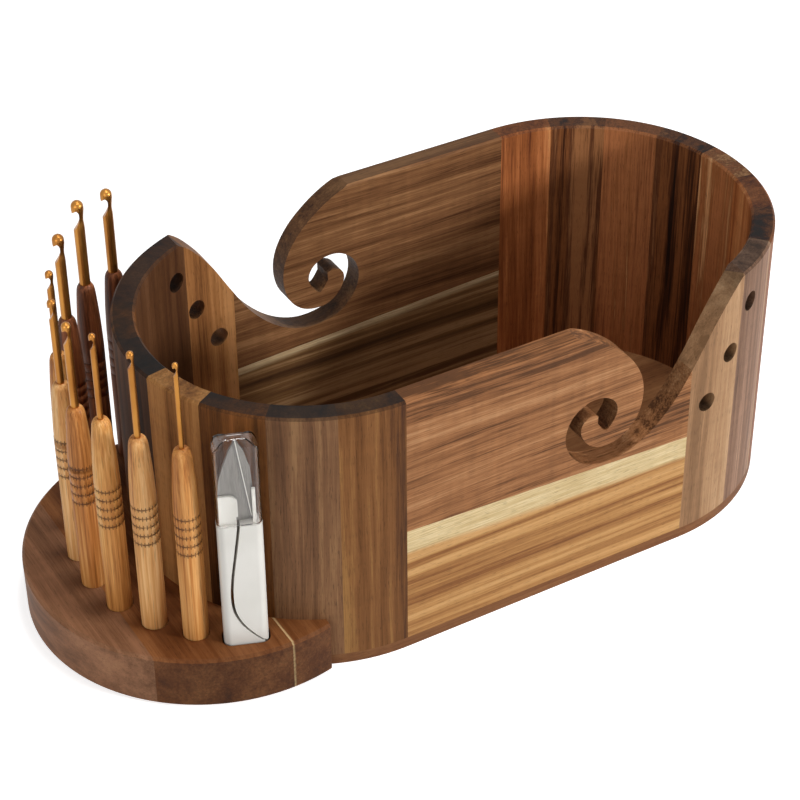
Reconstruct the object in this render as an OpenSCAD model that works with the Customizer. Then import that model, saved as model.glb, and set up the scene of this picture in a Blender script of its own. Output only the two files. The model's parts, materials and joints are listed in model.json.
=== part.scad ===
// Yarn dispenser box: a coopered wooden yarn bowl with two scroll notches, a tool shelf
// at one end, nine crochet hooks standing in the shelf and a capped thread snip.
// The origin is the centre of the bowl's underside. +X runs along the box away from
// the shelf, -Y is the front and +Z is up. All sizes are in millimetres.

/* [Bowl] */
// Outside radius of the bowl's rounded ends
end_r = 80; // [74:1:90]
// Half the length of the bowl's flat sides
side_half = 69; // [66:1:90]
// Height of the bowl
bowl_h = 127; // [122:1:145]
// Thickness of the bowl's wall
wall_t = 10; // [8:0.5:12]
// Thickness of the base plate
base_t = 5; // [4:0.5:10]
// Easing of the rim's edges
rim_ease = 1; // [0.4:0.1:1.5]
// Depth of the front panel's glue line below the rim, at its end near the shelf
front_seam_near = 65; // [63:0.5:75]
// Depth of the front panel's glue line below the rim, at its far end
front_seam_far = 71.5; // [70:0.5:80]
// Depth of the back panel's glue line below the rim, at its end near the shelf
back_seam_near = 78; // [72:0.5:85]
// Depth of the back panel's glue line below the rim, at its far end
back_seam_far = 72; // [71:0.5:85]

/* [Scroll notches] */
// Distance of the scroll's centre from the bowl's middle
scroll_x = 25; // [15:1:32]
// Depth of the scroll's centre below the rim
scroll_drop = 43; // [41:0.5:46]

/* [Yarn guide holes] */
// Diameter of each guide hole
guide_d = 9; // [6:0.5:10]
// Height of the lowest guide hole
guide_low_z = 70; // [60:1:75]
// Rise from one guide hole to the next
guide_rise = 19.75; // [16:0.25:21]
// Angle round the bowl's end from the flat side to the lowest guide hole
guide_first_angle = 7; // [6:0.5:8]
// Angle round the bowl's end from one guide hole to the next
guide_pitch = 9; // [8.5:0.5:10]

/* [Tool shelf] */
// Height of the shelf
shelf_h = 25; // [20:1:35]
// How far the shelf stands out past the bowl's end
shelf_reach = 50; // [44:1:60]
// How much smaller the shelf's radius is than the bowl's
shelf_inset = 1.6; // [0:0.1:3]
// Distance from the shelf's round centre to the ends of its tips
shelf_tip_back = 17.5; // [12:0.5:20]
// Width of the shelf's outer board
outer_board_w = 25.5; // [20:0.5:30]
// Width of the shelf's middle board
middle_board_w = 52; // [44:0.5:56]
// Easing of the shelf's edges
shelf_ease = 1.2; // [0.4:0.1:2]

/* [Crochet hooks] */
// Diameter of a hook's handle
handle_d = 10.6; // [8:0.1:12]
// Diameter of a handle's top end
handle_top_d = 7.4; // [6:0.1:7.8]
// Clearance all round a handle in its hole
handle_gap = 0.3; // [0.2:0.05:0.5]
// Depth of the holes that hold the hooks
hook_hole_depth = 15; // [10:0.5:18]
// Length of metal that stands out of a handle
hook_metal_out = 40; // [34:0.5:50]
// Depth of the metal's seat inside a handle
hook_metal_in = 20; // [10:1:30]
// Angle round the shelf to the first hook hole at the front
hook_first_angle = -42.5; // [-44:0.5:-40]
// Angle round the shelf from one hook to the next
hook_pitch = 13.7; // [13:0.1:14]

/* [Thread snip] */
// Width of the snip's body
snip_w = 18; // [16:0.5:19]
// Thickness of the snip's body
snip_t = 9; // [8:0.5:10]
// Depth of the snip's slot in the shelf
snip_slot_depth = 15; // [10:0.5:18]
// Clearance all round the snip in its slot
snip_gap = 0.8; // [0.4:0.1:1]
// Angle round the shelf to the snip
snip_angle = -57.8; // [-59:0.2:-57]
// Turn of the snip's face about the upright
snip_turn = -20.6; // [-26:0.2:-16]
// Height of the cap's mouth above the snip's foot
snip_cap_low = 76; // [72:0.5:80]
// Height of the cap's top above the snip's foot
snip_cap_top = 116.8; // [108:0.2:122]
// Thickness of the cap's wall
snip_cap_wall = 1; // [0.8:0.1:1.2]
// Thickness of each blade
blade_t = 1.2; // [0.8:0.1:1.4]
// Diameter of the snip's pivot pin
snip_pin_d = 2.4; // [2:0.1:3]

/* [Hidden] */
$fn = 96;
cut = 1;
stave_count = 9;
stave_pitch = 180 / stave_count;
inner_r = end_r - wall_t;
steps = 5;
shelf_r = end_r - shelf_inset;
shelf_end_x = -side_half - end_r - shelf_reach;
shelf_x = shelf_end_x + shelf_r;
outer_glue_x = shelf_end_x + outer_board_w;
middle_glue_x = outer_glue_x + middle_board_w;
tip_x = shelf_x + shelf_tip_back;
arc_x = (shelf_x - side_half) / 2;
arc_off = (-side_half - shelf_x) / 2;
hook_seat_z = shelf_h - hook_hole_depth;
guide_r = guide_d / 2;
handle_r = handle_d / 2;
handle_hole_r = handle_r + handle_gap;
snip_foot_z = shelf_h - snip_slot_depth;
scroll_z = bowl_h - scroll_drop;
sweep = side_half + end_r * sin(stave_pitch) - scroll_x;

// Each hook from the front round to the back: shaft diameter, height of the handle's top,
// and share of dark stain in the handle
HOOKS = [
    [2.0, 119, 0], [2.7, 119.5, 0], [2.5, 120, 0],
    [3.4, 115, 0], [3.2, 114, 0], [3.0, 115, 0],
    [4.4, 120, 1], [4.6, 125, 1], [4.4, 121, 1]
];

// The notch's wide outer wall, from the first stave's joint at the rim down round the scroll
// and in to the pocket, as points from the scroll's centre
SCROLL_OUTER = [
    [sweep, scroll_drop], [sweep - 7.4, 36.5], [sweep - 16.9, 24.5], [sweep - 25.9, 9],
    [sweep - 34.9, -5.5], [26, -16.5], [15, -23], [4, -25], [-8, -22.3], [-16, -14.5],
    [-18.8, -5], [-16, 4], [-9, 9.2], [-1, 9.4], [5, 5.5], [6.5, -1], [1.5, -8.2], [-3, -3]
];

// The tongue's edge, from its tip round its nose and back up to the rim
SCROLL_TONGUE = [
    [-2.9, 0.6], [-6.2, 2], [-10.4, -0.8], [-11, -6], [-7, -12.6], [0, -16], [9.5, -14.4],
    [16.5, -7.5], [19.3, 3], [17.8, 14], [11.5, 25], [2, 34], [-7, 39.8], [-14.5, scroll_drop]
];

// A point at share t of the way from b to c, on a smooth curve through a, b, c and d
function smooth_point(a, b, c, d, t) =
    0.5 * (2 * b + (c - a) * t
        + (2 * a - 5 * b + 4 * c - d) * t * t
        + (3 * b - a - 3 * c + d) * t * t * t);

// A smooth curve through every point of the list p
function smooth_path(p) = [
    for (i = [0 : len(p) - 2], k = [0 : steps - 1])
        smooth_point(p[max(i - 1, 0)], p[i], p[i + 1], p[min(i + 2, len(p) - 1)], k / steps),
    p[len(p) - 1]
];

// Distance from the shelf's arc centre to the middle of the crescent, at angle a
function crescent_mid(a) =
    (sqrt(pow(end_r, 2) - pow(arc_off * sin(a), 2))
        + sqrt(pow(shelf_r, 2) - pow(arc_off * sin(a), 2))) / 2;

// Place on the crescent's middle line, at angle a
function crescent_xy(a) = [
    arc_x - crescent_mid(a) * cos(a),
    crescent_mid(a) * sin(a)
];

// Section of the bowl's wall, from its inside face out, with both rim edges eased
module wall_section() {
    polygon([
        [0, base_t], [wall_t, base_t],
        [wall_t, bowl_h - rim_ease], [wall_t - rim_ease, bowl_h],
        [rim_ease, bowl_h], [0, bowl_h - rim_ease]
    ]);
}

// The void of the front scroll notch, cut straight through the front wall
module scroll_notch() {
    outline = concat(
        [[SCROLL_OUTER[0][0], scroll_drop + 2 * cut]],
        smooth_path(SCROLL_OUTER),
        smooth_path(SCROLL_TONGUE),
        [[SCROLL_TONGUE[len(SCROLL_TONGUE) - 1][0], scroll_drop + 2 * cut]]
    );
    translate([scroll_x, -end_r / 2, scroll_z])
        rotate([90, 0, 0])
            linear_extrude(height = end_r / 2 + cut)
                polygon(outline);
}

// One of the three holes that lead the yarn out, drilled square through the round end
module guide_hole(i) {
    rotate([0, 0, -90 + guide_first_angle + i * guide_pitch])
        translate([inner_r - cut, 0, guide_low_z + i * guide_rise])
            rotate([0, 90, 0])
                cylinder(r = guide_r, h = wall_t + 2 * cut);
}

// The part of the front wall's flat panel between two lines, given by their heights at the
// near and far ends
module panel_board(low_near, low_far, high_near, high_far) {
    intersection() {
        rotate([90, 0, 90])
            linear_extrude(height = 2 * side_half, center = true)
                translate([-end_r + wall_t, 0])
                    mirror([1, 0])
                        wall_section();
        translate([0, cut, 0])
            rotate([90, 0, 0])
                linear_extrude(height = end_r + 2 * cut)
                    polygon([
                        [-side_half, low_near], [side_half, low_far],
                        [side_half, high_far], [-side_half, high_near]
                    ]);
    }
}

// The board above a glue line, given by its depths below the rim
module upper_board(seam_near, seam_far) {
    difference() {
        panel_board(bowl_h - seam_near, bowl_h - seam_far, bowl_h, bowl_h);
        scroll_notch();
    }
}

// The board below a glue line
module lower_board(seam_near, seam_far) {
    difference() {
        panel_board(base_t, base_t, bowl_h - seam_near, bowl_h - seam_far);
        scroll_notch();
    }
}

// One stave of the far end, counted from the front. The first two carry the guide holes
// and the end of the scroll notch.
module end_stave(i) {
    difference() {
        translate([side_half, 0, 0])
            rotate([0, 0, -90 + (i - 1) * stave_pitch])
                rotate_extrude(angle = stave_pitch)
                    translate([inner_r, 0])
                        wall_section();
        if (i <= 2) {
            scroll_notch();
            translate([side_half, 0, 0])
                for (k = [0 : 2])
                    guide_hole(k);
        }
    }
}

module base_plate() {
    color("#8a5429")
        linear_extrude(height = base_t) {
            square([2 * side_half, 2 * end_r], center = true);
            for (side = [-1, 1])
                translate([side * side_half, 0])
                    circle(r = end_r);
        }
}

// Light and dark timber by turns, as the staves are sorted
function stave_colour(i) = ["#b98a52", "#7d4d2a", "#5b3722"][i % 3];

module right_stave(i) {
    color(stave_colour(i - 1))
        end_stave(i);
}

module left_stave(i) {
    color(stave_colour(i + 1))
        rotate([0, 0, 180])
            end_stave(i);
}

module front_upper_board() {
    color("#8a5530")
        upper_board(front_seam_near, front_seam_far);
}

module front_lower_board() {
    color("#c79a63")
        lower_board(front_seam_near, front_seam_far);
}

module back_upper_board() {
    color("#865330")
        rotate([0, 0, 180])
            upper_board(back_seam_far, back_seam_near);
}

module back_lower_board() {
    color("#b98a55")
        rotate([0, 0, 180])
            lower_board(back_seam_far, back_seam_near);
}

// The whole crescent shelf with its hook holes and snip slot, before it is sawn in boards
module shelf() {
    difference() {
        translate([shelf_x, 0, 0])
            rotate_extrude()
                polygon([
                    [0, 0], [shelf_r - shelf_ease, 0], [shelf_r, shelf_ease],
                    [shelf_r, shelf_h - shelf_ease], [shelf_r - shelf_ease, shelf_h],
                    [0, shelf_h]
                ]);
        translate([-side_half, 0, -cut])
            cylinder(r = end_r, h = shelf_h + 2 * cut);
        for (i = [0 : len(HOOKS) - 1])
            translate(concat(crescent_xy(hook_first_angle + i * hook_pitch), hook_seat_z))
                cylinder(r = handle_hole_r, h = hook_hole_depth + cut);
        at_snip()
            linear_extrude(height = snip_slot_depth + cut)
                round_block(snip_w + 2 * snip_gap, snip_t + 2 * snip_gap, snip_corner + snip_gap);
    }
}

// The part of the shelf between two planes square to X, front, back or both
module shelf_part(from_x, to_x, from_y, to_y) {
    intersection() {
        shelf();
        translate([from_x, from_y, -cut])
            cube([to_x - from_x, to_y - from_y, shelf_h + 2 * cut]);
    }
}

module shelf_outer_board() {
    color("#6d4226")
        shelf_part(shelf_end_x - cut, outer_glue_x, -end_r, end_r);
}

module shelf_middle_board() {
    color("#74482a")
        shelf_part(outer_glue_x, middle_glue_x, -end_r, end_r);
}

module shelf_front_tip() {
    color("#7a4d2d")
        shelf_part(middle_glue_x, tip_x, -end_r, 0);
}

module shelf_back_tip() {
    color("#7a4d2d")
        shelf_part(middle_glue_x, tip_x, 0, end_r);
}

handle_foot_ease = 0.8;
handle_taper_h = 30;
handle_shoulder_h = 2.4;

// Turned handle: a straight grip, a drawn-in neck and a rounded shoulder, bored for the metal
module hook_handle(i) {
    shaft_r = HOOKS[i - 1][0] / 2;
    top_z = HOOKS[i - 1][1];
    top_r = handle_top_d / 2;
    neck = smooth_path([
        [handle_r, top_z - handle_taper_h], [handle_r - 0.4, top_z - 0.6 * handle_taper_h],
        [top_r + 0.5, top_z - 3 * handle_shoulder_h], [top_r, top_z - handle_shoulder_h],
        [top_r - 0.9, top_z - 0.4], [max(shaft_r + 0.3, top_r - 1.8), top_z]
    ]);
    color(HOOKS[i - 1][2] == 1 ? "#4a3228" : "#c08a4e")
        translate(concat(crescent_xy(hook_first_angle + (i - 1) * hook_pitch), 0))
            rotate_extrude()
                polygon(concat(
                    [
                        [0, hook_seat_z], [handle_r - handle_foot_ease, hook_seat_z],
                        [handle_r, hook_seat_z + handle_foot_ease]
                    ],
                    neck,
                    [
                        [shaft_r, top_z], [shaft_r, top_z - hook_metal_in],
                        [0, top_z - hook_metal_in]
                    ]
                ));
}

hook_open_angle = 150;

// Drawn metal shaft with a slim neck, a round head and a throat cut in under its lip
module hook_shaft(i) {
    r = HOOKS[i - 1][0] / 2;
    top_z = HOOKS[i - 1][1];
    head_r = max(1.12 * r, 1.2);
    tip_z = top_z + hook_metal_out;
    head_z = tip_z - head_r;
    neck_r = 0.9 * r;
    color("#d9861c")
        translate(concat(crescent_xy(hook_first_angle + (i - 1) * hook_pitch), 0))
            rotate([0, 0, hook_open_angle])
                difference() {
                    rotate_extrude($fn = 48)
                        polygon(concat(
                            [[0, top_z - hook_metal_in], [r, top_z - hook_metal_in]],
                            smooth_path([
                                [r, top_z], [r, tip_z - 9 * head_r],
                                [neck_r + 0.1 * r, tip_z - 5 * head_r],
                                [neck_r, tip_z - 3.4 * head_r],
                                [head_r, head_z - 0.6 * head_r]
                            ]),
                            [for (a = [0 : 15 : 75]) [head_r * cos(a), head_z + head_r * sin(a)]],
                            [[0, tip_z]]
                        ));
                    translate([0, 2 * head_r, 0])
                        rotate([90, 0, 0])
                            linear_extrude(height = 4 * head_r)
                                polygon(smooth_path([
                                    [1.8 * head_r, head_z - 1.35 * head_r],
                                    [1.05 * head_r, head_z - 1.2 * head_r],
                                    [0.55 * head_r, head_z - 0.75 * head_r],
                                    [0.1 * head_r, head_z - 0.45 * head_r],
                                    [-0.25 * head_r, head_z - 0.85 * head_r],
                                    [-0.3 * head_r, head_z - 1.5 * head_r],
                                    [-0.2 * head_r, head_z - 2.4 * head_r],
                                    [0.2 * head_r, head_z - 3.4 * head_r],
                                    [0.7 * head_r, head_z - 4.2 * head_r],
                                    [1.8 * head_r, head_z - 5.2 * head_r]
                                ]));
                }
}

snip_corner = 3;
snip_shoulder = 7;
snip_crown = 0.3;
snip_split = 1.2;
snip_half = snip_w / 2;
snip_pivot_x = snip_half - 3.8;
snip_pivot_z = 9;
snip_eye_r = 3.2;
snip_eye_gap = 0.4;
snip_eye_t = 3.6;
snip_neck_h = 9;
snip_inner_w = snip_w - 2 * snip_cap_wall;
snip_tab_out = snip_inner_w / 2 - 0.3;
snip_tab_w = 7.3;
snip_tab_h = 13.4;
snip_tab_r = 3.4;
snip_tab_t = 1;
snip_strip_out = snip_inner_w / 2 - 1.3;
snip_strip_w = 1.4;
snip_strip_h = 16.2;
snip_tip_z = snip_cap_top - 2.2;
snip_pin_gap = 0.05;
snip_pin_l = snip_t - 2;
snip_fork_z = 13.4;
blade_root_z = snip_cap_low - 8;

// Rectangle with rounded corners, centred
module round_block(w, t, r) {
    square([w - 2 * r, t], center = true);
    square([w, t - 2 * r], center = true);
    for (x = [-1, 1], y = [-1, 1])
        translate([x * (w / 2 - r), y * (t / 2 - r)])
            circle(r = r, $fn = 32);
}

// Puts its children in the snip's own frame: foot on the slot's floor, X across its face
module at_snip() {
    translate(concat(crescent_xy(snip_angle), snip_foot_z))
        rotate([0, 0, snip_turn])
            children();
}

// Cuts its 2-D child straight through the snip, from face to face
module through_snip(t) {
    translate([0, t / 2, 0])
        rotate([90, 0, 0])
            linear_extrude(height = t)
                children();
}

// Stands its 2-D child up just in front of the blades, one tab thick
module front_tab() {
    translate([0, -blade_t - snip_tab_t / 2 - 0.1, 0])
        through_snip(snip_tab_t)
            children();
}

// Everything to the right of the split line, seen on the face
module arm_side(shift) {
    polygon(concat(
        [for (p = smooth_path([
            [-0.6, snip_cap_low + 3], [-0.6, snip_cap_low - 0.4], [-2.4, 62], [-4.2, 49],
            [-4.8, 39], [-4, 31.5], [-1.2, 25], [3.1, 19.2], [snip_half - 1.4, 14.8],
            [snip_half, snip_fork_z]
        ])) p + [shift, 0]],
        [[snip_w, snip_fork_z - 6], [snip_w, snip_cap_low + 3]]
    ));
}

// The snip's whole handle before it is split: full width below the cap, a shank inside it
module handle_block() {
    linear_extrude(height = snip_cap_low - 0.4)
        round_block(snip_w, snip_t, snip_corner);
}

// Body: the left side and the foot, forked at the lower right for the arm's eye
module snip_body() {
    color("#f2f2ee")
        at_snip()
            difference() {
                union() {
                    handle_block();
                    front_tab() {
                        translate([-snip_tab_out, snip_cap_low - 2])
                            square([snip_tab_w, snip_tab_h + 2 - snip_tab_r]);
                        translate([-snip_tab_out, snip_cap_low])
                            square([snip_tab_w - snip_tab_r, snip_tab_h]);
                        translate([-snip_tab_out + snip_tab_w - snip_tab_r,
                                snip_cap_low + snip_tab_h - snip_tab_r])
                            circle(r = snip_tab_r, $fn = 32);
                    }
                }
                through_snip(2 * snip_t)
                    arm_side(-snip_split / 2);
                through_snip(snip_eye_t + 2 * snip_eye_gap)
                    translate([snip_pivot_x, snip_pivot_z])
                        circle(r = snip_eye_r + snip_eye_gap, $fn = 48);
                through_snip(snip_eye_t + 2 * snip_eye_gap)
                    translate([snip_pivot_x - snip_eye_gap, snip_pivot_z - snip_eye_r - snip_eye_gap])
                        square([snip_w, snip_eye_r + snip_neck_h + snip_eye_gap]);
                through_snip(snip_pin_l)
                    translate([snip_pivot_x, snip_pivot_z])
                        circle(d = snip_pin_d);
                fixed_blade_plate();
            }
}

// Arm: the right side above its eye, which turns on the pin in the body's fork
module snip_arm() {
    color("#f6f6f3")
        at_snip()
            difference() {
                union() {
                    intersection() {
                        handle_block();
                        through_snip(2 * snip_t)
                            arm_side(snip_split / 2);
                    }
                    through_snip(snip_eye_t) {
                        translate([snip_pivot_x, snip_pivot_z])
                            circle(r = snip_eye_r, $fn = 48);
                        translate([snip_pivot_x, snip_pivot_z])
                            square([snip_eye_r, snip_neck_h]);
                    }
                    front_tab()
                        translate([snip_strip_out - snip_strip_w, snip_cap_low - 2])
                            square([snip_strip_w, snip_strip_h + 2]);
                }
                through_snip(2 * snip_t)
                    translate([snip_pivot_x, snip_pivot_z])
                        circle(d = snip_pin_d + 2 * snip_pin_gap);
                moving_blade_plate();
            }
}

// The left blade's plate, in the snip's own frame, with its root in the body
module fixed_blade_plate() {
    translate([0, -blade_t / 2, 0])
        through_snip(blade_t)
            polygon([
                [1.5 - snip_tab_out, blade_root_z], [-1.9, blade_root_z], [-1.2, snip_cap_low + 0.6],
                [5, snip_cap_low + 2], [4.3, snip_cap_low + 7.6], [0.2, snip_tip_z],
                [-0.6, snip_tip_z - 0.4], [-2.8, snip_tip_z - 4.8],
                [2.4 - snip_tab_out, snip_tip_z - 11.6], [0.8 - snip_tab_out, snip_tip_z - 17.3],
                [-snip_tab_out, snip_tip_z - 23],
                [-snip_tab_out, snip_cap_low + 1], [1.5 - snip_tab_out, snip_cap_low - 0.4]
            ]);
}

// The right blade's plate, in the snip's own frame, with its root in the arm
module moving_blade_plate() {
    translate([0, blade_t / 2, 0])
        through_snip(blade_t)
            polygon([
                [0.6, blade_root_z], [snip_half - 3.6, blade_root_z], [snip_half - 3.4, snip_cap_low + 2],
                [snip_half - 3.1, snip_cap_low + 17], [snip_half - 3.6, snip_tip_z - 14],
                [3.2, snip_tip_z - 5.6], [0.3, snip_tip_z - 0.1], [-0.8, snip_tip_z - 8],
                [-1.4, snip_cap_low + 10], [-0.2, snip_cap_low]
            ]);
}

// Fixed blade: the left blade, moulded into the body
module snip_blade_fixed() {
    color("#aeb4b8")
        at_snip()
            fixed_blade_plate();
}

// Moving blade: the right blade, moulded into the arm, whose edge sweeps across the fixed one
module snip_blade_moving() {
    color("#c2c8cb")
        at_snip()
            moving_blade_plate();
}

// Pivot pin, moulded into the fork and hidden from both faces
module snip_pivot_pin() {
    color("#9a9fa3")
        at_snip()
            through_snip(snip_pin_l)
                translate([snip_pivot_x, snip_pivot_z])
                    circle(d = snip_pin_d);
}

// Clear cap: a thin-walled box with rounded shoulders and a domed top, open at its mouth
module snip_cap() {
    color([0.86, 0.9, 0.92, 0.5])
        at_snip()
            difference() {
                cap_block(0);
                cap_block(snip_cap_wall);
            }
}

// The cap's outside, or the space inside it when drawn in by its wall
module cap_block(wall) {
    low = snip_cap_low - (wall > 0 ? cut : 0);
    high = snip_cap_top - wall;
    intersection() {
        translate([0, 0, low])
            linear_extrude(height = high - low)
                round_block(snip_w - 2 * wall, snip_t - 2 * wall, snip_corner - wall);
        through_snip(2 * snip_t)
            domed_outline(snip_w / 2 - wall, high, snip_shoulder - wall);
        rotate([0, 0, 90])
            through_snip(2 * snip_w)
                domed_outline(snip_t / 2 - wall, high, snip_t / 2 - snip_crown - wall);
    }
}

// Upright outline, half wide to each side of its middle, with rounded shoulders
module domed_outline(half, high, shoulder) {
    translate([-half, snip_cap_low - 2 * cut])
        square([2 * half, high - snip_cap_low - shoulder + 2 * cut]);
    translate([-half + shoulder, high - shoulder - cut])
        square([2 * (half - shoulder), shoulder + cut]);
    for (x = [-1, 1])
        translate([x * (half - shoulder), high - shoulder])
            circle(r = shoulder, $fn = 48);
}

base_plate();
front_upper_board();
front_lower_board();
back_upper_board();
back_lower_board();
left_stave(1);  // left_stave_1
left_stave(2);  // left_stave_2
left_stave(3);  // left_stave_3
left_stave(4);  // left_stave_4
left_stave(5);  // left_stave_5
left_stave(6);  // left_stave_6
left_stave(7);  // left_stave_7
left_stave(8);  // left_stave_8
left_stave(9);  // left_stave_9
right_stave(1);  // right_stave_1
right_stave(2);  // right_stave_2
right_stave(3);  // right_stave_3
right_stave(4);  // right_stave_4
right_stave(5);  // right_stave_5
right_stave(6);  // right_stave_6
right_stave(7);  // right_stave_7
right_stave(8);  // right_stave_8
right_stave(9);  // right_stave_9
shelf_outer_board();
shelf_middle_board();
shelf_front_tip();
shelf_back_tip();
hook_handle(1);  // hook_1_handle
hook_handle(2);  // hook_2_handle
hook_handle(3);  // hook_3_handle
hook_handle(4);  // hook_4_handle
hook_handle(5);  // hook_5_handle
hook_handle(6);  // hook_6_handle
hook_handle(7);  // hook_7_handle
hook_handle(8);  // hook_8_handle
hook_handle(9);  // hook_9_handle
hook_shaft(1);  // hook_1_shaft
hook_shaft(2);  // hook_2_shaft
hook_shaft(3);  // hook_3_shaft
hook_shaft(4);  // hook_4_shaft
hook_shaft(5);  // hook_5_shaft
hook_shaft(6);  // hook_6_shaft
hook_shaft(7);  // hook_7_shaft
hook_shaft(8);  // hook_8_shaft
hook_shaft(9);  // hook_9_shaft
snip_body();
snip_arm();
snip_blade_fixed();
snip_blade_moving();
snip_pivot_pin();
snip_cap();
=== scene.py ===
import json
import math
import random

import bmesh
import bpy
from mathutils import Matrix, Vector


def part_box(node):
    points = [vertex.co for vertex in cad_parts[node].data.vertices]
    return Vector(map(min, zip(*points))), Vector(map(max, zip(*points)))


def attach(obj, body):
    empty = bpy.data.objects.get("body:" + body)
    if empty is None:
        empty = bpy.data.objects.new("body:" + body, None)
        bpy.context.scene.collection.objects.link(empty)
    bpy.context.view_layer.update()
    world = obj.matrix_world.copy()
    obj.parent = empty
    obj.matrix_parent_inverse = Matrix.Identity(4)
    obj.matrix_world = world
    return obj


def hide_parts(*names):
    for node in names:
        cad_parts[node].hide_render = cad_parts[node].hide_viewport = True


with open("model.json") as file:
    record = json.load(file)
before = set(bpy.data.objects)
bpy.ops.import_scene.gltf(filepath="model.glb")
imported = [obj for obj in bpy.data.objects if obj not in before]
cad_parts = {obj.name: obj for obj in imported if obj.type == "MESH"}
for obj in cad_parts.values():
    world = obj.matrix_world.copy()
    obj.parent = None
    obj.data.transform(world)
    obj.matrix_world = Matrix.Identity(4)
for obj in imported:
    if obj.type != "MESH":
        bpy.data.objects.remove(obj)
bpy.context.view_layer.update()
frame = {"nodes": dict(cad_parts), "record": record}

MM = 0.001
NODES = frame["nodes"]
SLOT_OF = {part["node"]: part["material_slot"] for part in frame["record"]["subparts"]}
HOOK_NUMBERS = range(1, 10)

# The bowl's outline, from the frame: the radius of its round ends, and half its flat sides
BASE_CORNER = Vector(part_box("base_plate")[1])
END_R = BASE_CORNER.y
SIDE_HALF = BASE_CORNER.x - END_R

# The mix node's colour sockets, which come after those for numbers and vectors
MIX_A, MIX_B, MIX_RESULT = 6, 7, 2


def colour(text):
    """A linear colour from its usual six hexadecimal digits, by the sRGB curve."""
    parts = [int(text[i:i + 2], 16) / 255 for i in (0, 2, 4)]
    linear = [c / 12.92 if c <= 0.04045 else ((c + 0.055) / 1.055) ** 2.4 for c in parts]
    return (*linear, 1.0)


def stops(*tints, low=0.22, high=0.78):
    """Ramp stops spread evenly from low to high."""
    gap = (high - low) / (len(tints) - 1)
    return [(low + i * gap, colour(tint)) for i, tint in enumerate(tints)]


def clouded(dark, light):
    """Ramp stops for a surface of nearly one colour."""
    return [(0.3, colour(dark)), (0.7, colour(light))]


class Shader:
    """One node material, with short calls for the nodes that the finishes share."""

    def __init__(self, name):
        self.material = bpy.data.materials.new(name)
        self.material.use_nodes = True
        self.tree = self.material.node_tree
        self.surface = self.tree.nodes["Principled BSDF"]
        coords = self.tree.nodes.new("ShaderNodeTexCoord")
        self.place = coords.outputs["Object"]
        self.normal = coords.outputs["Normal"]

    def put(self, socket, value):
        if isinstance(value, bpy.types.NodeSocket):
            self.tree.links.new(value, socket)
        else:
            socket.default_value = value

    def give(self, name, value):
        """Sets or links one input of the surface."""
        self.put(self.surface.inputs[name], value)

    def node(self, kind, **values):
        made = self.tree.nodes.new(kind)
        for key, value in values.items():
            setattr(made, key, value)
        return made

    def fill(self, made, values):
        """Sets or links a node's first inputs, and gives its first output."""
        for socket, value in zip(made.inputs, values):
            self.put(socket, value)
        return made.outputs[0]

    def math(self, operation, a, b=0.0, c=0.0):
        return self.fill(self.node("ShaderNodeMath", operation=operation), (a, b, c))

    def vector(self, operation, a, b):
        return self.fill(self.node("ShaderNodeVectorMath", operation=operation), (a, b))

    def turned(self, vector, angle):
        """A vector turned about the upright."""
        made = self.node("ShaderNodeVectorRotate", rotation_type="Z_AXIS")
        made.inputs["Angle"].default_value = angle
        self.put(made.inputs["Vector"], vector)
        return made.outputs[0]

    def split(self, vector):
        made = self.node("ShaderNodeSeparateXYZ")
        self.put(made.inputs[0], vector)
        return made.outputs

    def join(self, x, y, z):
        return self.fill(self.node("ShaderNodeCombineXYZ"), (x, y, z))

    def noise(self, vector, cells, detail, roughness=0.55):
        """Noise over a place in metres, with cells per metre along each axis."""
        made = self.node("ShaderNodeTexNoise")
        self.put(made.inputs["Vector"], self.vector("MULTIPLY", vector, cells))
        for name, value in (("Scale", 1.0), ("Detail", detail), ("Roughness", roughness)):
            made.inputs[name].default_value = value
        return made.outputs["Fac"]

    def ramp(self, fac, points):
        made = self.node("ShaderNodeValToRGB")
        elements = made.color_ramp.elements
        while len(elements) < len(points):
            elements.new(0.5)
        for element, (place, tint) in zip(elements, points):
            element.position = place
            element.color = tint
        return self.fill(made, (fac,))

    def step(self, value, low, high, to_low=0.0, to_high=1.0):
        """A smooth step of value from low to high."""
        made = self.node("ShaderNodeMapRange", interpolation_type="SMOOTHSTEP")
        return self.fill(made, (value, low, high, to_low, to_high))

    def mix(self, fac, a, b, mode="MIX"):
        made = self.node("ShaderNodeMix", data_type="RGBA", blend_type=mode)
        self.put(made.inputs[0], fac)
        self.put(made.inputs[MIX_A], a)
        self.put(made.inputs[MIX_B], b)
        return made.outputs[MIX_RESULT]

    def shade(self, tint, factor):
        """A colour times a plain factor."""
        return self.mix(1.0, tint, self.join(factor, factor, factor), "MULTIPLY")

    def bump(self, height, strength, distance):
        made = self.node("ShaderNodeBump")
        made.inputs["Strength"].default_value = strength
        made.inputs["Distance"].default_value = distance
        self.put(made.inputs["Height"], height)
        self.give("Normal", made.outputs[0])


# Which of x, y and z run along the grain, across it and through it
GRAIN_ORDER = {"x": (0, 2, 1), "y": (1, 0, 2), "z": (2, 1, 0)}

# Layers of the timber's figure, in cells per metre along, across and through the grain
DRIFT_CELLS = (5, 22, 22)
STREAK_CELLS = (11, 380, 260)
FIBRE_CELLS = (45, 1500, 1200)
PORE_CELLS = (230, 2600, 2200)
FIGURE_CELLS = (210, 26, 26)
TONE_CELLS = (4, 16, 14)
END_CELLS = (900, 900, 900)
BANDS_THROUGH = 0.7  # the growth bands' cells through the grain, as a share of those across

# Where the steps between two looks begin and end, and the shades they lead to
PORE_EDGE, PORE_SHADE = (0.60, 0.72), 0.65
# Where the painted light and shade on what faces up begins and ends
PAINTED_TOP_EDGE = (0.6, 0.9)
END_GRAIN_EDGE = (0.45, 0.92)
END_DOT_EDGE, END_DOT_SHADES = (0.3, 0.7), (0.75, 1.15)
TONE_LEAST, TONE_RANGE = 0.83, 0.34

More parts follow.
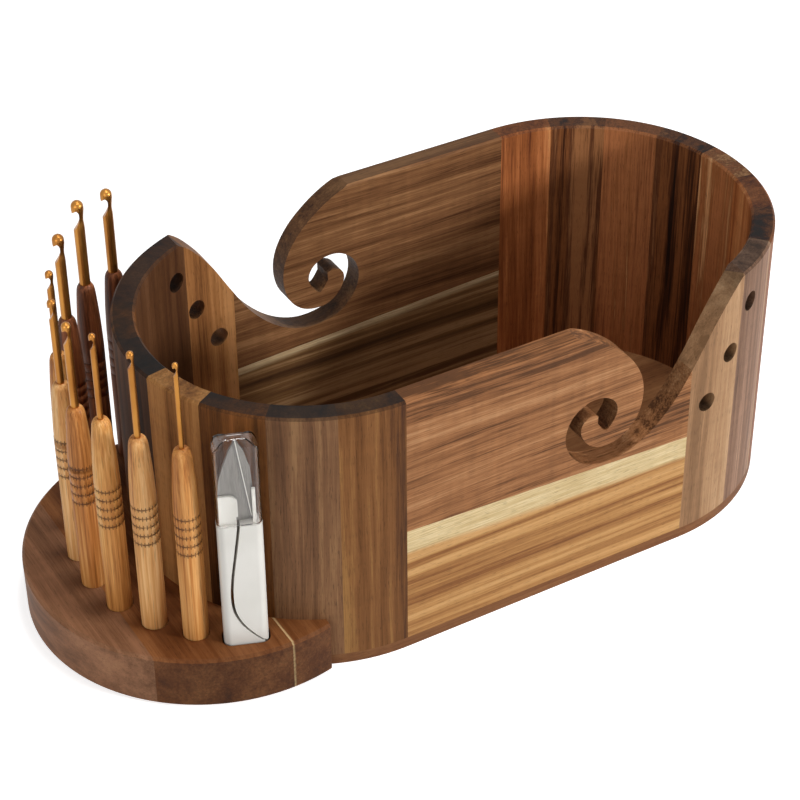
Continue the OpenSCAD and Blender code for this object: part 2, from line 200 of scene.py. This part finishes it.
# How far a piece's figure is moved along the grain, so that no two pieces are alike
SHIFT_RANGE = (0.5, 9.0)

SAP_LIGHT = "dcc79c"
SAP_WAVER, SAP_EDGE = 4 * MM, (-1.2 * MM, 2.2 * MM)
STREAK_WAVER, STREAK_EDGE = 1.2 * MM, 0.8 * MM
WOOD_SPECULAR = 0.13
WOOD_ROUGHNESS = 0.46
WOOD_RELIEF = 0.22 * MM


def shifted(s, along, seed):
    """A place along the grain, moved by the piece's own draw."""
    return s.math("ADD", along, random.Random(seed).uniform(*SHIFT_RANGE))


def add_sap(s, wood, sap, streaks, fibres):
    """A pale band of sapwood below a slanted line."""
    height, slope, width, pale = sap
    x, _, z = s.split(s.place)
    below = s.math("SUBTRACT", s.math("MULTIPLY_ADD", x, slope, height), z)
    edge = s.math("MULTIPLY_ADD", s.math("SUBTRACT", streaks, 0.5), SAP_WAVER, below)
    band = s.step(edge, width + SAP_EDGE[0], width + SAP_EDGE[1], 1.0, 0.0)
    pale_wood = s.mix(s.step(fibres, 0.35, 0.7), colour(pale), colour(SAP_LIGHT))
    return s.mix(band, wood, pale_wood)


def add_streak(s, wood, streak, streaks):
    """A pale streak that stands upright across X."""
    middle, half, pale = streak
    off = s.math("ABSOLUTE", s.math("SUBTRACT", s.split(s.place)[0], middle))
    off = s.math("MULTIPLY_ADD", s.math("SUBTRACT", streaks, 0.5), STREAK_WAVER, off)
    return s.mix(s.step(off, half, half + STREAK_EDGE, 1.0, 0.0), wood, colour(pale))


def timber(name, grain, tints, seed, ring, turn=0.0, centre=(0, 0), weight=(0.55, 0.3, 0.15),
           wander=4 * MM, end_tint=0.42, sap=None, streak=None, painted_top_light=1.0, chatter=0.12,
           spread=1.5):
    """Oiled timber. Grain runs along one axis, after a turn about the upright through centre.

    tints colour the growth bands from dark to light, and ring gives their cells per metre along
    and across. weight is the share that bands, streaks and fibres have in the tone, and spread
    its contrast. wander is how far the grain drifts, and chatter how deep the marks across it
    are. sap is (height at x = 0, slope, width, colour) of a pale band, and streak is (x, half
    width, colour) of an upright one. end_tint shades the end grain. painted_top_light scales
    the colour of what faces up: painted light above 1, painted shade below 1.
    """
    s = Shader(name)
    axes = s.split(s.turned(s.vector("SUBTRACT", s.place, (*centre, 0)), -turn))
    along, across, through = (axes[i] for i in GRAIN_ORDER[grain])
    along = shifted(s, along, seed)
    drift = s.noise(s.join(along, across, through), DRIFT_CELLS, 2)
    drift = s.math("MULTIPLY", s.math("SUBTRACT", drift, 0.5), 2 * wander)
    place = s.join(along, s.math("ADD", across, drift), through)

    bands = s.noise(place, (ring[0], ring[1], ring[1] * BANDS_THROUGH), 3, roughness=0.5)
    streaks = s.noise(place, STREAK_CELLS, 3, roughness=0.6)
    fibres = s.noise(place, FIBRE_CELLS, 2, roughness=0.6)
    pores = s.noise(place, PORE_CELLS, 1)
    figure = s.noise(place, FIGURE_CELLS, 2)
    tone = s.noise(place, TONE_CELLS, 1)

    mixed = s.math("MULTIPLY", bands, weight[0])
    mixed = s.math("MULTIPLY_ADD", streaks, weight[1], mixed)
    mixed = s.math("MULTIPLY_ADD", fibres, weight[2], mixed)
    mixed = s.math("MULTIPLY_ADD", s.math("SUBTRACT", mixed, 0.5), spread, 0.5)
    wood = s.ramp(mixed, tints)
    if sap:
        wood = add_sap(s, wood, sap, streaks, fibres)
    if streak:
        wood = add_streak(s, wood, streak, streaks)
    slow = s.math("MULTIPLY_ADD", tone, TONE_RANGE, TONE_LEAST)
    cross = s.math("MULTIPLY_ADD", figure, 2 * chatter, 1 - chatter)
    speck = s.step(pores, *PORE_EDGE, 1.0, PORE_SHADE)
    wood = s.shade(wood, s.math("MULTIPLY", s.math("MULTIPLY", slow, cross), speck))

    # Painted light and shade: the colour of what faces up is scaled, lighter above 1 and darker
    # below
    wood = s.shade(wood, s.step(s.split(s.normal)[2], *PAINTED_TOP_EDGE, 1.0, painted_top_light))
    facing = s.split(s.turned(s.normal, -turn))[GRAIN_ORDER[grain][0]]
    end = s.step(s.math("ABSOLUTE", facing), *END_GRAIN_EDGE)
    dots = s.step(s.noise(s.place, END_CELLS, 2), *END_DOT_EDGE, *END_DOT_SHADES)
    wood = s.mix(end, wood, s.shade(wood, s.math("MULTIPLY", dots, end_tint)))
    s.give("Base Color", wood)
    s.give("Specular IOR Level", WOOD_SPECULAR)

    rough = s.math("MULTIPLY_ADD", fibres, 0.16, WOOD_ROUGHNESS)
    s.give("Roughness", s.math("MULTIPLY_ADD", tone, 0.08, rough))
    relief = s.math("MULTIPLY_ADD", speck, 0.5, s.math("MULTIPLY", fibres, 0.6))
    s.bump(relief, 0.28, WOOD_RELIEF)
    return s.material


# Timber tones, dark to light
UPPER = stops("53331b", "7d5130", "8e5f3b", "9b6b45", "ad7e56")
UPPER_BACK = stops("4b2d19", "674328", "7a5233", "8a603d", "a0744d")
ZEBRA = stops("4e2c18", "86572f", "b0814d", "c79a64", "8f5f38")
ZEBRA_BACK = stops("2c1a0f", "51361f", "755433", "a5825a", "5a3c24")
BROWN = stops("30190e", "4a2c19", "593820", "67442b")
UMBER = stops("4a2711", "6e3f1e", "8b5832", "a06b40")
RUSSET = stops("5c2e1c", "96562d", "bb7343", "d6945c")
CHESTNUT = stops("562f1f", "915834", "ba7649", "9a5f36", "dea571")
STRIPED = stops("1c0e09", "4f2b17", "89542f", "5a331e", "a46e45")
TAN = stops("5b371a", "885a30", "a16f3e", "b4824d")
FAWN = stops("643c1f", "956237", "b07947", "c58d58")
PALE = stops("7d5c3f", "95704f", "a98460", "bf9b76")
GREYED = stops("50392a", "755642", "92705a", "a98a6c")
DUSKY = stops("352012", "5f402a", "795539", "916c49")
AMBER = stops("3b2010", "643e1e", "7a502c", "956c3d")
DARK = stops("1c100a", "342013", "4c3120", "614128")
SMOKED = stops("321c0c", "573416", "7a4a22", "996030")
WALNUT = stops("492e1d", "744e34", "976a4c", "ae7e5a")
BASE = stops("4e2d17", "70472a", "8a5f3c", "a0744c")

# Tone of each stave, its growth bands across and how dark its end grain is, from the front
# of the far end round to its back, and from the back of the near end round to its front
RIGHT_STAVES = [
    (PALE, 55, 0.30), (GREYED, 110, 0.32), (STRIPED, 70, 0.30),
    (RUSSET, 55, 0.28), (CHESTNUT, 60, 0.30), (STRIPED, 90, 0.30),
    (CHESTNUT, 45, 0.28), (STRIPED, 110, 0.36), (RUSSET, 50, 0.34),
]
LEFT_STAVES = [
    (FAWN, 60, 0.30), (BROWN, 80, 0.26), (BROWN, 80, 0.26),
    (SMOKED, 80, 0.16), (DARK, 60, 0.15), (TAN, 55, 0.72),
    (SMOKED, 45, 0.20), (DUSKY, 75, 0.12), (AMBER, 75, 0.17),
]

# Side, stave table and first seed of each round end
ENDS = {"right": (1, RIGHT_STAVES, 40), "left": (-1, LEFT_STAVES, 20)}


def finish(node, material):
    """Gives a carried-over node its material."""
    mesh = NODES[node].data
    mesh.materials.clear()
    mesh.materials.append(material)


def finish_boards():
    """The two boards of each flat side, with the sapwood below their slanted joint."""
    front_seam = (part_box("front_lower_board")[1][2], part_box("front_upper_board")[0][2])
    back_seam = (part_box("back_lower_board")[1][2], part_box("back_upper_board")[0][2])
    front_slope = (front_seam[1] - front_seam[0]) / (2 * SIDE_HALF)
    back_slope = (back_seam[0] - back_seam[1]) / (2 * SIDE_HALF)
    # Painted light on the front upper board's top, and painted shade on the back upper board's top
    finish("front_upper_board", timber(
        "wood_front_upper", "x", UPPER, 11, (2.4, 60), chatter=0.2,
        weight=(0.4, 0.34, 0.26), spread=3.4, end_tint=0.56, painted_top_light=1.22))
    finish("front_lower_board", timber(
        "wood_front_lower", "x", ZEBRA, 12, (1.6, 150), chatter=0.06,
        weight=(0.75, 0.17, 0.08), spread=2.0, wander=2 * MM,
        sap=(sum(front_seam) / 2, front_slope, 10.5 * MM, "c2a878")))
    finish("back_upper_board", timber(
        "wood_back_upper", "x", UPPER_BACK, 13, (2.4, 70), chatter=0.16,
        weight=(0.45, 0.33, 0.22), spread=3.0, end_tint=0.5, painted_top_light=0.42))
    finish("back_lower_board", timber(
        "wood_back_lower", "x", ZEBRA_BACK, 14, (1.6, 130), chatter=0.06,
        weight=(0.7, 0.2, 0.1), spread=1.9, wander=2 * MM,
        sap=(sum(back_seam) / 2, back_slope, 2.4 * MM, "c0a47c")))


def finish_staves():
    """The staves of both ends, each with its own tone and its grain upright."""
    for label, (side, staves, seed) in ENDS.items():
        pitch = math.pi / len(staves)
        for i, (tone, across, end_tint) in enumerate(staves):
            angle = -math.pi / 2 + (i + 0.5) * pitch + (0 if side > 0 else math.pi)
            finish(f"{label}_stave_{i + 1}", timber(
                f"wood_{label}_stave_{i + 1}", "z", tone, seed + i, (1.6, across),
                turn=angle, centre=(side * SIDE_HALF, 0), end_tint=end_tint,
                weight=(0.6, 0.25, 0.15), wander=3 * MM, spread=2.6))


def finish_shelf():
    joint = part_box("shelf_front_tip")[0][0]
    finish("shelf_outer_board", timber(
        "wood_shelf_outer", "y", WALNUT, 61, (3, 60), end_tint=0.8))
    finish("shelf_middle_board", timber(
        "wood_shelf_middle", "y", UMBER, 62, (3, 70), end_tint=0.44))
    finish("shelf_front_tip", timber(
        "wood_shelf_front_tip", "y", UMBER, 63, (3, 60), end_tint=0.5,
        streak=(joint - 0.7 * MM, 1.1 * MM, "c9a878")))
    finish("shelf_back_tip", timber(
        "wood_shelf_back_tip", "y", UMBER, 64, (3, 60), end_tint=0.8))


# Burnt rings round each handle: height of the lowest, rise to the next, and their count
RING_LOW = 69.5 * MM
RING_RISE = 4.4 * MM
RING_COUNT = 5
TICK_WAVES = 11.0  # half the number of ticks burnt round a handle
BURNT = "3a1c0c"

# The groove under each ring, and the share of it that is flat at the bottom
GROOVE_HALF = 0.35 * MM
GROOVE_DEPTH = 0.22 * MM
GROOVE_FLAT = 0.3

# A handle's neck, the easing of its foot, and the seat of the metal in its top
NECK_R = 3.7 * MM
FOOT_EASE, FOOT_CORNER = 0.8 * MM, 0.25 * MM
SEAT_DEPTH = 2 * MM
TAPER_STEPS = 5

LATHE_SIDES = 64
ON_AXIS = 1e-7
SHARP_ANGLE = math.radians(50)

HONEY = [stops("965a27", "c18041", "da9b55", "eeba78"),
         stops("895123", "b67338", "cd8d4c", "e0a767"),
         stops("9c602e", "cb8b50", "dfa463", "f1c187")]
STAINED = stops("432212", "6a3c23", "8e5433", "b26c43")
HONEY_BURN, STAINED_BURN = 0.8, 0.5
HANDLE_SEED = 80


def lathe(name, profile, centre):
    """A closed solid of revolution about an upright axis, from its (radius, height) profile."""
    bm = bmesh.new()
    rings = []
    for radius, height in profile:
        if radius < ON_AXIS:
            rings.append([bm.verts.new((centre[0], centre[1], height))])
        else:
            turns = (2 * math.pi * k / LATHE_SIDES for k in range(LATHE_SIDES))
            rings.append([bm.verts.new((centre[0] + radius * math.cos(t),
                                        centre[1] + radius * math.sin(t), height))
                          for t in turns])
    for low, high in zip(rings, rings[1:]):
        for k in range(LATHE_SIDES):
            n = (k + 1) % LATHE_SIDES
            if len(low) == 1:
                bm.faces.new((low[0], high[n], high[k]))
            elif len(high) == 1:
                bm.faces.new((low[k], low[n], high[0]))
            else:
                bm.faces.new((low[k], low[n], high[n], high[k]))
    bmesh.ops.recalc_face_normals(bm, faces=bm.faces)
    mesh = bpy.data.meshes.new(name)
    bm.to_mesh(mesh)
    bm.free()
    mesh.shade_smooth()
    mesh.set_sharp_from_angle(angle=SHARP_ANGLE)
    obj = bpy.data.objects.new(name, mesh)
    bpy.context.scene.collection.objects.link(obj)
    return obj


def burnt_rings(s, local, x, y, z):
    """How far a place on a handle is burnt: broken rings, with ticks between them."""
    around = s.math("ARCTAN2", y, x)
    ring = s.math("DIVIDE", s.math("SUBTRACT", z, RING_LOW), RING_RISE)
    offset = s.math("ABSOLUTE", s.math("SUBTRACT", ring, s.math("ROUND", ring)))
    inside = s.math("MULTIPLY", s.step(ring, -0.6, -0.35),
                    s.step(ring, RING_COUNT - 0.65, RING_COUNT - 0.4, 1.0, 0.0))
    line = s.step(offset, 0.05, 0.13, 1.0, 0.0)
    tick = s.math("ABSOLUTE", s.math("SINE", s.math("MULTIPLY", around, TICK_WAVES)))
    ticks = s.math("MULTIPLY", s.step(tick, 0.86, 0.98), s.step(offset, 0.2, 0.32, 1.0, 0.0))
    broken = s.step(s.noise(local, (700, 700, 700), 1), 0.33, 0.6, 0.35, 1.0)
    marks = s.math("MAXIMUM", s.math("MULTIPLY", line, broken), ticks)
    return s.math("MULTIPLY", marks, inside)


def bamboo(name, tints, seed, centre, burn):
    """Honey or stained bamboo: long dark fibres, and the rings burnt into it."""
    s = Shader(name)
    local = s.vector("SUBTRACT", s.place, (*centre, 0))
    x, y, z = s.split(local)
    place = s.join(shifted(s, z, seed), x, y)
    fibres = s.noise(place, (18, 900, 900), 3, roughness=0.65)
    dashes = s.noise(place, (60, 1700, 1700), 2)
    tone = s.noise(place, (9, 120, 120), 2)
    mixed = s.math("MULTIPLY_ADD", tone, 0.45, s.math("MULTIPLY", fibres, 0.55))
    mixed = s.math("MULTIPLY_ADD", s.math("SUBTRACT", mixed, 0.5), 1.9, 0.5)
    wood = s.shade(s.ramp(mixed, tints), s.step(dashes, 0.58, 0.7, 1.0, 0.68))
    mark = burnt_rings(s, local, x, y, z)
    s.give("Base Color", s.mix(s.math("MULTIPLY", mark, burn), wood, colour(BURNT)))
    s.give("Specular IOR Level", 0.22)
    s.give("Roughness", s.math("MULTIPLY_ADD", fibres, 0.22, 0.38))
    relief = s.math("SUBTRACT", s.math("MULTIPLY", fibres, 0.5), mark)
    s.bump(relief, 0.35, 0.25 * MM)
    return s.material


def smooth(points, steps):
    """Points along a smooth curve through the given ones."""
    out = []
    for i in range(len(points) - 1):
        a, b = Vector(points[max(i - 1, 0)]), Vector(points[i])
        c, d = Vector(points[i + 1]), Vector(points[min(i + 2, len(points) - 1)])
        for k in range(steps):
            t = k / steps
            p = 0.5 * (2 * b + (c - a) * t + (2 * a - 5 * b + 4 * c - d) * t * t
                       + (3 * b - a - 3 * c + d) * t ** 3)
            out.append(tuple(p))
    out.append(tuple(points[-1]))
    return out


def shaft_radius(i):
    """Radius of a hook's metal where it enters the handle."""
    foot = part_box(f"hook_{i}_shaft")[0][2]
    near = [v.co for v in NODES[f"hook_{i}_shaft"].data.vertices if v.co.z < foot + 1 * MM]
    return (max(v.x for v in near) - min(v.x for v in near)) / 2


def make_handle(i):
    """A turned handle on its node's own outline, with the ring grooves cut into it."""
    node = f"hook_{i}_handle"
    low, high = (Vector(corner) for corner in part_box(node))
    centre = ((low.x + high.x) / 2, (low.y + high.y) / 2)
    r = (high.x - low.x) / 2
    top = high.z
    shaft_r = shaft_radius(i)
    profile = [(0, low.z), (r - FOOT_EASE, low.z), (r - FOOT_CORNER, low.z + FOOT_CORNER),
               (r, low.z + FOOT_EASE)]
    for k in range(RING_COUNT):
        z = RING_LOW + k * RING_RISE
        profile += [(r, z - GROOVE_HALF), (r - GROOVE_DEPTH, z - GROOVE_FLAT * GROOVE_HALF),
                    (r - GROOVE_DEPTH, z + GROOVE_FLAT * GROOVE_HALF), (r, z + GROOVE_HALF)]
    # Radius, and how many mm below the handle's top
    taper = [(r, 30), (r - 0.4 * MM, 18), (NECK_R + 0.5 * MM, 7.2), (NECK_R, 2.4),
             (NECK_R - 0.9 * MM, 0.4), (max(shaft_r + 0.3 * MM, NECK_R - 1.8 * MM), 0)]
    profile += smooth([(radius, top - drop * MM) for radius, drop in taper], TAPER_STEPS)
    profile += [(shaft_r, top), (shaft_r, top - SEAT_DEPTH), (0, top - SEAT_DEPTH)]
    obj = lathe(f"hook_{i}_turned_handle", profile, centre)
    stained = SLOT_OF[node] == "handle_dark"
    tints, burn = (STAINED, STAINED_BURN) if stained else (HONEY[i % len(HONEY)], HONEY_BURN)
    obj.data.materials.append(bamboo(f"bamboo_{i}", tints, HANDLE_SEED + i, centre, burn))
    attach(obj, f"hook_{i}")
    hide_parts(node)


FINE_RELIEF = 0.1 * MM

# Along the snip's face, left to right as the camera sees it
SNIP_TURN = math.radians(-20.6)
FACE = Vector((math.cos(SNIP_TURN), math.sin(SNIP_TURN), 0))

# The front blade's ground edge, where a highlight line is painted, and the slope behind it, with
# painted shade
EDGE_HIGHLIGHT_FROM, EDGE_HIGHLIGHT_TO = 0.16 * MM, 0.28 * MM
SLOPE_TO, PAINTED_SLOPE_SHADE = 2.2 * MM, 0.66


def anodised():
    """Gold anodised aluminium, drawn along its length."""
    s = Shader("gold_anodised")
    drawn = s.noise(s.place, (2600, 2600, 60), 2)
    cloud = s.noise(s.place, (90, 90, 40), 2)
    s.give("Base Color", s.ramp(cloud, clouded("96602c", "b8823f")))
    s.give("Metallic", 1.0)
    s.give("Roughness", s.math("MULTIPLY_ADD", drawn, 0.14, 0.3))
    s.bump(drawn, 0.05, FINE_RELIEF)
    return s.material


def plastic():
    """The snip's white body, with a fine moulded grain."""
    s = Shader("white_plastic")
    cloud = s.noise(s.place, (60, 60, 40), 2)
    grain = s.noise(s.place, (2500, 2500, 2500), 1)
    s.give("Base Color", s.ramp(cloud, clouded("d9d6ce", "e4e1da")))
    s.give("Roughness", s.math("MULTIPLY_ADD", cloud, 0.1, 0.34))
    s.bump(grain, 0.05, FINE_RELIEF)
    return s.material


def clear_plastic():
    """The snip's cap."""
    s = Shader("clear_plastic")
    haze = s.noise(s.place, (160, 160, 60), 2)
    s.give("Base Color", s.ramp(haze, clouded("f2f1f0", "ffffff")))
    s.give("Roughness", s.math("MULTIPLY_ADD", haze, 0.05, 0.02))
    s.give("Transmission Weight", 1.0)
    s.give("IOR", 1.3)
    return s.material


def steel(name, edge=None):
    """Brushed steel; edge is two (x, z) ends of a ground edge, x being along the snip's face, with
    a painted highlight along it and painted shade on the slope behind.
    """
    s = Shader(name)
    brushed = s.noise(s.place, (2600, 2600, 120), 3)
    tint = s.ramp(brushed, clouded("726f6b", "918d88"))
    if edge:
        (x0, z0), (x1, z1) = edge
        slope = (x1 - x0) / (z1 - z0)
        x, y, z = s.split(s.place)
        across = s.math("MULTIPLY_ADD", x, FACE.x, s.math("MULTIPLY", y, FACE.y))
        line = s.math("MULTIPLY_ADD", z, slope, x0 - slope * z0)
        off = s.math("SUBTRACT", line, across)
        # Painted shade on the slope behind the edge
        tint = s.shade(tint, s.step(off, EDGE_HIGHLIGHT_TO, SLOPE_TO, PAINTED_SLOPE_SHADE, 1.0))
        # Painted highlight: a near-white line along the ground edge
        tint = s.mix(s.step(off, EDGE_HIGHLIGHT_FROM, EDGE_HIGHLIGHT_TO, 1.0, 0.0), tint, colour("f2efe8"))
    s.give("Base Color", tint)
    s.give("Metallic", 0.85)
    s.give("Roughness", s.math("MULTIPLY_ADD", brushed, 0.2, 0.32))
    s.bump(brushed, 0.08, FINE_RELIEF)
    return s.material


def blade_edge():
    """Ends of the front blade's cutting edge: its tip, and the highest corner well to the right."""
    points = [(v.co.dot(FACE), v.co.z) for v in NODES["snip_blade_fixed"].data.vertices]
    tip = max(points, key=lambda p: p[1])
    return tip, max((p for p in points if p[0] > tip[0] + 1 * MM), key=lambda p: p[1])


def finish_tools():
    gold = anodised()
    for i in HOOK_NUMBERS:
        finish(f"hook_{i}_shaft", gold)
        make_handle(i)
    white = plastic()
    finish("snip_body", white)
    finish("snip_arm", white)
    finish("snip_blade_fixed", steel("blade_front", blade_edge()))
    plain = steel("blade_behind")
    finish("snip_blade_moving", plain)
    finish("snip_pivot_pin", plain)
    finish("snip_cap", clear_plastic())


# The camera, from the photograph's fitted view
CAMERA_PLACE = Vector((-0.42734, -0.69600, 0.66067))
CAMERA_RIGHT = Vector((0.86355, -0.50422, -0.00678))
CAMERA_UP = Vector((0.30658, 0.51428, 0.80095))
FRAME_PIXELS = 800
FOCAL_PIXELS = 2320.8
SENSOR_MM = 36.0

# Name, place, size and watts of each square lamp, and where they all point
LAMPS = [
    ("key", (0.82, -1.15, 0.5), 0.2, 14.5),
    ("overhead", (0.1, -0.1, 1.4), 0.35, 9.5),
    ("fill", (-1.2, -0.7, 0.5), 0.8, 6),
]
LAMP_TARGET = Vector((0, 0, 0.05))

AMBIENT = 0.14
FLOOR_GLOW = 0.7
FLOOR_HALF = 3.0
FLOOR_COLOUR = (0.8, 0.8, 0.8, 1)
WHITE = (1, 1, 1, 1)


def add_camera():
    data = bpy.data.cameras.new("camera")
    data.sensor_fit = "HORIZONTAL"
    data.sensor_width = SENSOR_MM
    data.lens = FOCAL_PIXELS / FRAME_PIXELS * SENSOR_MM
    obj = bpy.data.objects.new("camera", data)
    right = CAMERA_RIGHT.normalized()
    back = right.cross(CAMERA_UP).normalized()
    up = back.cross(right)
    obj.matrix_world = Matrix((right, up, back)).transposed().to_4x4()
    obj.matrix_world.translation = CAMERA_PLACE
    bpy.context.scene.collection.objects.link(obj)
    bpy.context.scene.camera = obj


def add_lamp(name, place, size, watts):
    data = bpy.data.lights.new(name, "AREA")
    data.shape = "SQUARE"
    data.size = size
    data.energy = watts
    obj = bpy.data.objects.new(name, data)
    obj.location = place
    obj.rotation_euler = (Vector(place) - LAMP_TARGET).to_track_quat("Z", "Y").to_euler()
    bpy.context.scene.collection.objects.link(obj)


def seen_ray(tree):
    """1 for rays that the camera, a reflection or clear plastic sends to the background."""
    path = tree.nodes.new("ShaderNodeLightPath")
    seen = path.outputs["Is Camera Ray"]
    for name in ("Is Glossy Ray", "Is Transmission Ray"):
        either = tree.nodes.new("ShaderNodeMath")
        either.operation = "MAXIMUM"
        tree.links.new(seen, either.inputs[0])
        tree.links.new(path.outputs[name], either.inputs[1])
        seen = either.outputs[0]
    return seen


def add_world():
    """A dim world that lights the object, and shows white to the rays that see it."""
    world = bpy.data.worlds.new("studio")
    bpy.context.scene.world = world
    world.use_nodes = True
    tree = world.node_tree
    lit = tree.nodes["Background"]
    lit.inputs["Color"].default_value = colour("fbfcff")
    lit.inputs["Strength"].default_value = AMBIENT
    seen = tree.nodes.new("ShaderNodeBackground")
    seen.inputs["Color"].default_value = WHITE
    seen.inputs["Strength"].default_value = 1.0
    both = tree.nodes.new("ShaderNodeMixShader")
    tree.links.new(seen_ray(tree), both.inputs[0])
    tree.links.new(lit.outputs[0], both.inputs[1])
    tree.links.new(seen.outputs[0], both.inputs[2])
    tree.links.new(both.outputs[0], tree.nodes["World Output"].inputs["Surface"])


def add_floor():
    """A pale floor that keeps the object's shadow."""
    corners = [(x * FLOOR_HALF, y * FLOOR_HALF, 0) for x, y in ((-1, -1), (1, -1), (1, 1), (-1, 1))]
    mesh = bpy.data.meshes.new("floor")
    mesh.from_pydata(corners, [], [(0, 1, 2, 3)])
    floor = bpy.data.objects.new("floor", mesh)
    bpy.context.scene.collection.objects.link(floor)
    s = Shader("floor_white")
    s.give("Base Color", FLOOR_COLOUR)
    s.give("Roughness", 0.9)
    s.give("Specular IOR Level", 0.0)
    s.give("Emission Color", WHITE)
    s.give("Emission Strength", s.math("MULTIPLY", seen_ray(s.tree), FLOOR_GLOW))
    mesh.materials.append(s.material)


finish_boards()
finish("base_plate", timber("wood_base", "x", BASE, 15, (2, 60)))
finish_staves()
finish_shelf()
finish_tools()
add_camera()
add_world()
add_floor()
for lamp in LAMPS:
    add_lamp(*lamp)
bpy.context.scene.view_settings.view_transform = "Standard"
